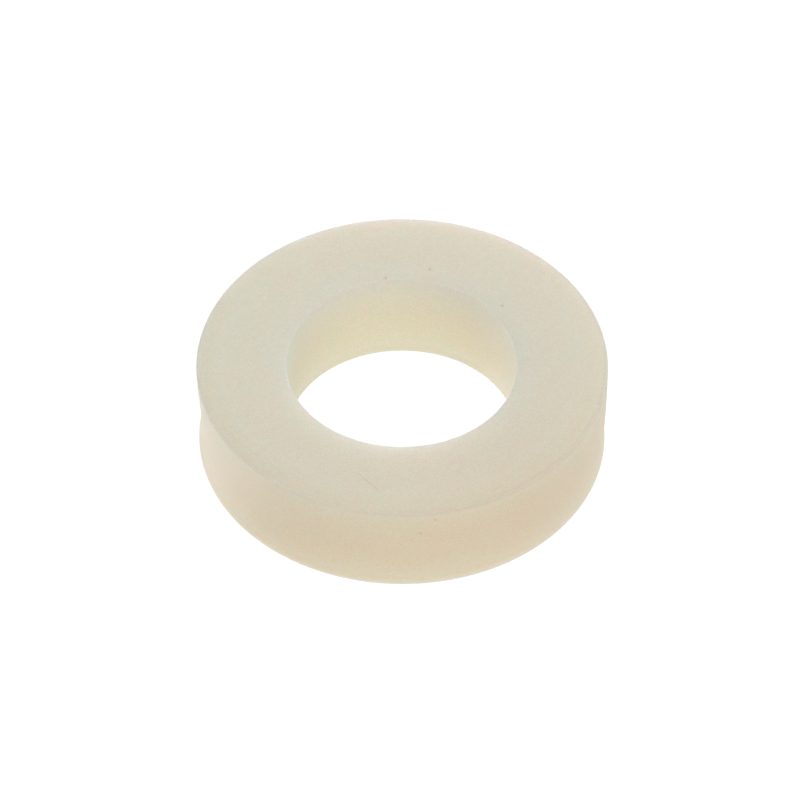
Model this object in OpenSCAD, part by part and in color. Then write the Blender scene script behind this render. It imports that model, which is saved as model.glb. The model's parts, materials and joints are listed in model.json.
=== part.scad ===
// Flat washer: a thick plain ring with a straight bore, moulded in one piece.
// Millimetres, +Z up. The origin is the centre of the lower face, on the axis of the bore.

/* [Washer] */
// Outer diameter
outer_d = 6.35; // [5.6:0.05:12]
// Bore diameter, a clearance hole for a number 6 machine screw
bore_d = 3.56; // [1:0.01:5]
// Thickness, from the lower face to the upper face
thickness = 1.59; // [0.5:0.01:6]

/* [Rims] */
// Radius on the two outer rims
outer_rim_r = 0.03; // [0.01:0.01:0.12]
// Radius on the two rims of the bore
bore_rim_r = 0.03; // [0.01:0.01:0.12]

/* [Hidden] */

$fn = 96;
outer_r = outer_d / 2;
bore_r = bore_d / 2;
natural_nylon = [0.85, 0.82, 0.75];

// A round section centred on one corner of the ring's section
module rim_round(radius_from_axis, height, rim_r) {
    translate([radius_from_axis, height])
        circle(r = rim_r);
}

// The ring's section to the right of the axis, with its four corners rounded
module ring_section() {
    bore_side = bore_r + bore_rim_r;
    outer_side = outer_r - outer_rim_r;

    // Between the two flat faces
    translate([bore_side, 0])
        square([outer_side - bore_side, thickness]);

    // Out to the wall of the bore
    translate([bore_r, bore_rim_r])
        square([bore_rim_r, thickness - 2 * bore_rim_r]);
    for (height = [bore_rim_r, thickness - bore_rim_r])
        rim_round(bore_side, height, bore_rim_r);

    // Out to the outer wall
    translate([outer_side, outer_rim_r])
        square([outer_rim_r, thickness - 2 * outer_rim_r]);
    for (height = [outer_rim_r, thickness - outer_rim_r])
        rim_round(outer_side, height, outer_rim_r);
}

module washer() {
    color(natural_nylon)
        rotate_extrude()
            ring_section();
}

washer();
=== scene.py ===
"""A moulded nylon flat washer: its looks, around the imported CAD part. Metres, +Z up."""

import json
import math

import bmesh
import bpy
from mathutils import Matrix, Vector


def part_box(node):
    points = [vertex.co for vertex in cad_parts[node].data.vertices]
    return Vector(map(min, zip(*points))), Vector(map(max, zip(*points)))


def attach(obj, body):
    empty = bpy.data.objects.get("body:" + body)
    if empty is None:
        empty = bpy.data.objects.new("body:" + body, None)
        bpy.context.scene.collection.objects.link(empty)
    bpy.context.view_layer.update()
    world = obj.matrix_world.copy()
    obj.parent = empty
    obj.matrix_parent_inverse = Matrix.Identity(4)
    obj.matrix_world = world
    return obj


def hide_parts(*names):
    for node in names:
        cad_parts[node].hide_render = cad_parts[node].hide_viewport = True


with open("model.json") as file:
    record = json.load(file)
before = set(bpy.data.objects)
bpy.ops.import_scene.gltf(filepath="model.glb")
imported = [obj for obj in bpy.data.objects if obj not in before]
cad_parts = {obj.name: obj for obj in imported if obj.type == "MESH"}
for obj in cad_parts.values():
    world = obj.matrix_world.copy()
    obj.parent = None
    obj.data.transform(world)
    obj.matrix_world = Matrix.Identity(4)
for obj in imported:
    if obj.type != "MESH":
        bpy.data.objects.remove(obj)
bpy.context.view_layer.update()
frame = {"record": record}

MM = 0.001

# The ring's sizes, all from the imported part
low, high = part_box("washer")
outer_r = (high.x - low.x) / 2
thickness = high.z - low.z
bore = next(mount for mount in frame["record"]["mounts"] if mount["name"] == "bore")
bore_r = bore["dims"]["r_mm"] * MM
rim_r = (thickness - bore["dims"]["length_mm"] * MM) / 2
ring_w = outer_r - bore_r

# How far the real moulding strays from the drawing: the depths of the sinks in its outer wall
# towards -X and +X, and how much narrower it is along X, above a foot that kept its size
LEFT_SINK = 0.052 * MM
RIGHT_SINK = 0.030 * MM
OUT_OF_ROUND = 0.003
FOOT_SHARE = 0.15

# Colours of the nylon inside the ring and at its outer wall, and the tints laid over them, most of them
# painted shade and light
CORE = (1.0, 0.965, 0.820)
# Towards the outer wall: partly the nylon's own tone, partly painted shade
WALL_TONE_AND_SHADE = (0.985, 0.900, 0.695)
# Painted shade low in the bore, on the two upper rims, at the foot and on the front, then painted warm
# light on the front right
BORE_LOW_SHADE = (0.98, 0.965, 0.90)
BORE_RIM_SHADE = (1.0, 0.995, 0.95)
OUTER_RIM_SHADE = (0.92, 0.88, 0.86)
FOOT_SHADE = (0.92, 0.86, 0.66)
FRONT_SHADE = (0.98, 0.97, 0.965)
WARM_LIGHT_TINT = (1.0, 0.975, 0.965)
GRAIN_TINT = (0.90, 0.895, 0.88)
CLOUD_TINT = (0.985, 0.985, 0.99)
SPECK_TINT = (0.77, 0.77, 0.69)
SCRATCH_TINT = (0.87, 0.87, 0.81)
# Painted shade in a line under the upper face at +X
UNDER_RIM_SHADE_TINT = (0.90, 0.89, 0.84)

# How far each local tint of painted shade and light reaches
BORE_RIM_REACH = 0.14 * MM
OUTER_RIM_REACH = 0.11 * MM
FOOT_REACH = 0.22 * MM
WARM_LIGHT_REACH = 3.2 * MM

# Fine grain of the moulded skin and the soft clouds in it
GRAIN_SIZE = 0.022 * MM
GRAIN_DEPTH = 0.002 * MM
CLOUD_SIZE = 0.6 * MM

# The marks on it, and a short line of painted shade: azimuths in degrees from the front towards +X, heights
# as shares of the thickness
SPECK_REACH = 0.04 * MM
WALL_SPECKS = ((9, 0.89), (5, 0.72))
FACE_SPECKS = ((128, 1.98 * MM), (168, 2.07 * MM), (-172, 1.85 * MM))
SCRATCH_REACH = 0.014 * MM
SCRATCH_ENDS = ((-6, 2.78 * MM), (-16, 2.43 * MM))
UNDER_RIM_SHADE_AZIMUTH = 76
UNDER_RIM_SHADE_DROP = 0.27 * MM
UNDER_RIM_SHADE_REACH = 0.9 * MM

# How the nylon bends, reflects and spreads light: red goes twice as far in it as green and blue
NYLON_IOR = 1.53
SHEEN = 0.35
SPREAD = 1.4 * MM
SPREAD_BY_COLOUR = (1.0, 0.5, 0.5)

# Gap between the washer and each sheet under it, so that no two faces lie in one plane
SHEET_GAP = 0.002 * MM
SHEET_WIDTH = 400 * outer_r
FLOOR_GLOW = 0.97
CARD_GLOW = 0.70

# Lamps as (azimuth from +Y towards +X in degrees, strength), high ones and low ones
HIGH_LAMPS = ((90, 0.140), (180, 0.222), (270, 0.035))
LOW_LAMPS = ((0, 0.125), (45, 0.255), (135, 0.050), (190, 0.095), (270, 0.020), (315, 0.225))

# The camera stands in front, towards -Y, and looks down at the washer through a long lens
CAMERA_RISE = math.radians(46.15)
CAMERA_DISTANCE = 23 * outer_r
CAMERA_LENS = 212.1
AIM_OFFSET = (-0.0325 * MM, -0.0373 * MM)


# ---------------------------------------------------------------- mesh

def ring_section(bm):
    """The section of the ring in the XZ plane, right of the axis, with rounded corners."""
    bmesh.ops.create_grid(bm, x_segments=1, y_segments=1, size=0.5)
    bmesh.ops.scale(bm, verts=bm.verts, vec=(ring_w, thickness, 1))
    bmesh.ops.rotate(bm, verts=bm.verts, cent=(0, 0, 0), matrix=Matrix.Rotation(math.pi / 2, 3, "X"))
    bmesh.ops.translate(bm, verts=bm.verts, vec=(bore_r + ring_w / 2, 0, low.z + thickness / 2))
    bmesh.ops.bevel(bm, geom=bm.verts[:], offset=rim_r, offset_type="OFFSET", affect="VERTICES",
                    segments=6, profile=0.5, material=-1)
    bmesh.ops.delete(bm, geom=bm.faces[:], context="FACES_ONLY")
    sides = [edge for edge in bm.edges if edge.calc_length() > 4 * rim_r]
    bmesh.ops.subdivide_edges(bm, edges=sides, cuts=15)


def moulding_unevenness(bm):
    """Draws the outer wall in where the plastic shrank, and leaves the ring a little out of round."""
    for vert in bm.verts:
        radius = math.hypot(vert.co.x, vert.co.y)
        height = (vert.co.z - low.z) / thickness
        if radius > outer_r - 0.5 * rim_r and 0 < height < 1:
            left = 0.5 - 0.5 * vert.co.x / radius
            left_sink = LEFT_SINK * left * math.sin(math.pi * height ** 0.6) ** 1.5
            right_sink = RIGHT_SINK * (1 - left) * math.sin(math.pi * height ** 0.3) ** 3
            vert.co.xy *= (radius - left_sink - right_sink) / radius
        vert.co.x *= 1 - OUT_OF_ROUND * min(1, height / FOOT_SHARE)


def moulded_ring():
    """The washer as moulded, spun round from its section."""
    bm = bmesh.new()
    ring_section(bm)
    bmesh.ops.spin(bm, geom=bm.verts[:] + bm.edges[:], cent=(0, 0, 0), axis=(0, 0, 1),
                   angle=2 * math.pi, steps=256, use_merge=True)
    moulding_unevenness(bm)
    bmesh.ops.remove_doubles(bm, verts=bm.verts, dist=rim_r / 1000)
    bmesh.ops.recalc_face_normals(bm, faces=bm.faces)
    mesh = bpy.data.meshes.new("moulded_ring")
    bm.to_mesh(mesh)
    bm.free()
    mesh.shade_smooth()
    ring = bpy.data.objects.new("moulded_ring", mesh)
    bpy.context.scene.collection.objects.link(ring)
    even = ring.modifiers.new("even_shading", "WEIGHTED_NORMAL")
    even.mode = "FACE_AREA"
    return ring


# ---------------------------------------------------------------- material

def maths(tree, operation, *values):
    """One step of arithmetic on sockets or plain numbers."""
    made = tree.nodes.new("ShaderNodeMath")
    made.operation = operation
    for socket, value in zip(made.inputs, values):
        feed(tree, socket, value)
    return made.outputs[0]


def vector_maths(tree, operation, *values, output="Vector"):
    """One step of vector arithmetic on sockets or plain (x, y, z)."""
    made = tree.nodes.new("ShaderNodeVectorMath")
    made.operation = operation
    for socket, value in zip(made.inputs, values):
        feed(tree, socket, value)
    return made.outputs[output]


def feed(tree, socket, value):
    """Links a socket to another, or sets it to a plain value."""
    if isinstance(value, bpy.types.NodeSocket):
        tree.links.new(value, socket)
    else:
        socket.default_value = value


def eased(tree, value, start, stop, low_end=0, high_end=1):
    """Goes from low_end to high_end as the value goes from start to stop, eased at both ends."""
    made = tree.nodes.new("ShaderNodeMapRange")
    made.interpolation_type = "SMOOTHSTEP"
    for socket, number in zip(made.inputs, (value, start, stop, low_end, high_end)):
        feed(tree, socket, number)
    return made.outputs[0]


def tinted(tree, colour, tint, amount, how="MULTIPLY"):
    """Lays a plain (r, g, b) over a colour."""
    made = tree.nodes.new("ShaderNodeMix")
    made.data_type = "RGBA"
    made.blend_type = how
    feed(tree, made.inputs[0], amount)
    feed(tree, made.inputs[6], colour if isinstance(colour, bpy.types.NodeSocket) else (*colour, 1))
    feed(tree, made.inputs[7], (*tint, 1))
    return made.outputs[2]


def nearness(tree, place, spot, reach):
    """1 at a spot, eased down to 0 at a distance of reach."""
    apart = vector_maths(tree, "DISTANCE", place, spot, output="Value")
    return eased(tree, apart, reach, 0)


def section_place(tree, place):
    """Where a point lies in the ring's section: its radius, its height and the two as a vector."""
    height = vector_maths(tree, "DOT_PRODUCT", place, (0, 0, 1), output="Value")
    radius = vector_maths(tree, "LENGTH", vector_maths(tree, "MULTIPLY", place, (1, 1, 0)), output="Value")
    joined = tree.nodes.new("ShaderNodeCombineXYZ")
    feed(tree, joined.inputs["X"], radius)
    feed(tree, joined.inputs["Y"], height)
    return radius, height, joined.outputs[0]


def around(azimuth, radius, height):
    """A spot on the ring. Azimuth 0 is the front, towards -Y, and it grows towards +X."""
    turn = math.radians(azimuth)
    return (radius * math.sin(turn), -radius * math.cos(turn), height)


def noise(tree, place, size, detail, roughness=0.5):
    """Even random variation from 0 to 1, whose broadest patches are about size across."""
    made = tree.nodes.new("ShaderNodeTexNoise")
    feed(tree, made.inputs["Vector"], place)
    feed(tree, made.inputs["Scale"], 1 / size)
    feed(tree, made.inputs["Detail"], detail)
    feed(tree, made.inputs["Roughness"], roughness)
    return made.outputs["Fac"]


def specks(tree, place):
    """1 on the few dark specks caught in the surface, two in the outer wall and three in the upper face."""
    spots = [around(azimuth, outer_r, low.z + share * thickness) for azimuth, share in WALL_SPECKS]
    spots += [around(azimuth, radius, high.z) for azimuth, radius in FACE_SPECKS]
    found = 0
    for spot in spots:
        found = maths(tree, "MAXIMUM", found, nearness(tree, place, spot, SPECK_REACH))
    return found


def scratch(tree, place):
    """1 along the fine scratch in the upper face, fading out at its ends."""
    start, end = (Vector(around(azimuth, radius, high.z)) for azimuth, radius in SCRATCH_ENDS)
    run = end - start
    from_middle = vector_maths(tree, "SUBTRACT", place, (start + end) / 2)
    along = vector_maths(tree, "DOT_PRODUCT", from_middle, run.normalized(), output="Value")
    foot = vector_maths(tree, "PROJECT", from_middle, run)
    across = vector_maths(tree, "DISTANCE", from_middle, foot, output="Value")
    line = eased(tree, across, SCRATCH_REACH, 0)
    fade = eased(tree, maths(tree, "ABSOLUTE", along), run.length / 2, run.length / 5)
    return maths(tree, "MULTIPLY", line, fade)


def under_rim_shade_line(tree, place, height):
    """1 along a short line of painted shade on the outer wall's +X side, under the upper face."""
    level = high.z - UNDER_RIM_SHADE_DROP
    off_level = maths(tree, "ABSOLUTE", maths(tree, "SUBTRACT", height, level))
    line = eased(tree, off_level, rim_r, 0)
    middle = around(UNDER_RIM_SHADE_AZIMUTH, outer_r, level)
    return maths(tree, "MULTIPLY", line, nearness(tree, place, middle, UNDER_RIM_SHADE_REACH))


def nylon_colour(tree, place):
    """Milky inside the ring and warmer and darker at the outer wall, partly the nylon's tone and partly
    painted shade, with painted shade low in the bore, on the rims, at the foot, on the front and under the
    upper face at +X, and painted warm light on the front right.
    """
    radius, height, section = section_place(tree, place)
    front = vector_maths(tree, "DOT_PRODUCT", place, (0, -1, 0), output="Value")
    right = vector_maths(tree, "DOT_PRODUCT", place, (1, 0, 0), output="Value")
    # Painted shade, darker towards the bottom and deepest low in the bore
    low_shade = eased(tree, height, low.z + 0.95 * thickness, low.z)
    colour = tinted(tree, CORE, BORE_LOW_SHADE, low_shade)
    # Warmer and darker towards the outer wall: partly the nylon's own tone, partly painted shade
    near_wall = eased(tree, radius, 0.86 * outer_r, outer_r)
    colour = tinted(tree, colour, WALL_TONE_AND_SHADE, near_wall, "MIX")
    # Painted shade on the bore's upper rim
    bore_rim_shade = nearness(tree, section, (bore_r + 0.5 * BORE_RIM_REACH, high.z, 0), BORE_RIM_REACH)
    colour = tinted(tree, colour, BORE_RIM_SHADE, bore_rim_shade)
    # Painted shade on the outer upper rim, strongest towards +X
    outer_rim_shade = nearness(tree, section, (outer_r, high.z, 0), OUTER_RIM_REACH)
    outer_rim_shade = maths(tree, "MULTIPLY", outer_rim_shade, eased(tree, right, -outer_r, 0.7 * outer_r, 0.3, 1))
    colour = tinted(tree, colour, OUTER_RIM_SHADE, outer_rim_shade)
    # Painted shade at the foot, where the washer meets the floor
    colour = tinted(tree, colour, FOOT_SHADE, eased(tree, height, low.z + FOOT_REACH, low.z))
    # Painted shade on the front side, towards -Y
    colour = tinted(tree, colour, FRONT_SHADE, eased(tree, front, -0.3 * outer_r, 0.9 * outer_r))
    # Painted warm light on the front right
    warm_light = nearness(tree, place, around(42, outer_r, low.z + 0.6 * thickness), WARM_LIGHT_REACH)
    colour = tinted(tree, colour, WARM_LIGHT_TINT, warm_light)
    # Painted shade in a short line under the upper face at +X
    return tinted(tree, colour, UNDER_RIM_SHADE_TINT, under_rim_shade_line(tree, place, height))


def natural_nylon():
    """Milky nylon with a fine moulded grain, faint clouds, a few specks and a scratch."""
    material = bpy.data.materials.new("natural_nylon")
    material.use_nodes = True
    tree = material.node_tree
    place = tree.nodes.new("ShaderNodeTexCoord").outputs["Object"]
    grain = eased(tree, noise(tree, place, GRAIN_SIZE, detail=2, roughness=0.7), 0.3, 0.7)
    clouds = noise(tree, place, CLOUD_SIZE, detail=2)
    scratched = scratch(tree, place)
    colour = nylon_colour(tree, place)
    colour = tinted(tree, colour, GRAIN_TINT, grain)
    colour = tinted(tree, colour, CLOUD_TINT, clouds)
    colour = tinted(tree, colour, SPECK_TINT, specks(tree, place))
    colour = tinted(tree, colour, SCRATCH_TINT, scratched)
    bump = tree.nodes.new("ShaderNodeBump")
    bump.inputs["Distance"].default_value = GRAIN_DEPTH
    bump.inputs["Strength"].default_value = 0.5
    feed(tree, bump.inputs["Height"], maths(tree, "SUBTRACT", grain, scratched))
    roughness = eased(tree, maths(tree, "ADD", grain, clouds), 0.2, 1.8, 0.36, 0.54)
    shader = tree.nodes["Principled BSDF"]
    feed(tree, shader.inputs["Base Color"], colour)
    feed(tree, shader.inputs["Roughness"], roughness)
    feed(tree, shader.inputs["Normal"], bump.outputs[0])
    shader.inputs["IOR"].default_value = NYLON_IOR
    shader.inputs["Specular IOR Level"].default_value = SHEEN
    shader.inputs["Subsurface Weight"].default_value = 1
    shader.inputs["Subsurface Radius"].default_value = SPREAD_BY_COLOUR
    shader.inputs["Subsurface Scale"].default_value = SPREAD
    return material


# ---------------------------------------------------------------- studio

def sheet(name, depth, glow):
    """A wide level sheet under the washer, dark itself but evenly lit from within."""
    bpy.ops.mesh.primitive_plane_add(size=SHEET_WIDTH, location=(0, 0, low.z - depth))
    made = bpy.context.object
    made.name = name
    material = bpy.data.materials.new(name)
    material.use_nodes = True
    shader = material.node_tree.nodes["Principled BSDF"]
    shader.inputs["Base Color"].default_value = (0.1, 0.1, 0.1, 1)
    shader.inputs["Roughness"].default_value = 1
    shader.inputs["Specular IOR Level"].default_value = 0
    shader.inputs["Emission Color"].default_value = (1, 1, 1, 1)
    shader.inputs["Emission Strength"].default_value = glow
    made.data.materials.append(material)
    return made


def studio_floor():
    """A floor that shows white, over which a softer card sends light up into the nylon."""
    floor = sheet("floor", 2 * SHEET_GAP, FLOOR_GLOW)
    floor.visible_diffuse = False
    floor.visible_glossy = False
    floor.visible_shadow = False
    card = sheet("bounce_card", SHEET_GAP, CARD_GLOW)
    card.visible_camera = False
    card.visible_shadow = False


def studio_world():
    """Plain white all round, which the nylon reflects but which doesn't light it."""
    world = bpy.data.worlds.new("studio")
    world.use_nodes = True
    world.node_tree.nodes["Background"].inputs["Color"].default_value = (1, 1, 1, 1)
    world.node_tree.nodes["Background"].inputs["Strength"].default_value = 1
    world.cycles_visibility.diffuse = False
    bpy.context.scene.world = world


def soft_lamp(name, azimuth, elevation, spread, strength):
    """A broad, distant lamp that isn't itself reflected. At strength 1 it lights a white face to 1."""
    turn = math.radians(azimuth)
    rise = math.radians(elevation)
    away = Vector((math.sin(turn) * math.cos(rise), math.cos(turn) * math.cos(rise), math.sin(rise)))
    data = bpy.data.lights.new(name, "SUN")
    data.angle = math.radians(spread)
    data.energy = math.pi * strength
    lamp = bpy.data.objects.new(name, data)
    lamp.rotation_euler = away.to_track_quat("Z", "Y").to_euler()
    lamp.visible_glossy = False
    bpy.context.scene.collection.objects.link(lamp)
    return lamp


def studio_lamps():
    """One lamp overhead, two rings of them, and one from behind and below that only gives a sheen."""
    soft_lamp("top_lamp", azimuth=0, elevation=90, spread=50, strength=0.125)
    for azimuth, strength in HIGH_LAMPS:
        soft_lamp(f"high_lamp_{azimuth}", azimuth, elevation=50, spread=45, strength=strength)
    for azimuth, strength in LOW_LAMPS:
        soft_lamp(f"low_lamp_{azimuth}", azimuth, elevation=17, spread=30, strength=strength)
    sheen = soft_lamp("sheen_lamp", azimuth=330, elevation=-46, spread=60, strength=0.75)
    sheen.visible_glossy = True
    sheen.visible_diffuse = False


def studio_camera():
    """A long lens from the front and above."""
    data = bpy.data.cameras.new("camera")
    data.sensor_width = 36
    data.lens = CAMERA_LENS
    data.clip_start = outer_r
    data.clip_end = 1000 * outer_r
    camera = bpy.data.objects.new("camera", data)
    back = Vector((0, -math.cos(CAMERA_RISE), math.sin(CAMERA_RISE)))
    turn = back.to_track_quat("Z", "Y")
    aim = Vector((0, 0, low.z + thickness / 2)) + turn @ Vector((*AIM_OFFSET, 0))
    camera.location = aim + CAMERA_DISTANCE * back
    camera.rotation_euler = turn.to_euler()
    bpy.context.scene.collection.objects.link(camera)
    bpy.context.scene.camera = camera


bpy.context.scene.view_settings.view_transform = "Standard"
ring = moulded_ring()
ring.data.materials.append(natural_nylon())
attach(ring, "root")
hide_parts("washer")
studio_floor()
studio_world()
studio_lamps()
studio_camera()
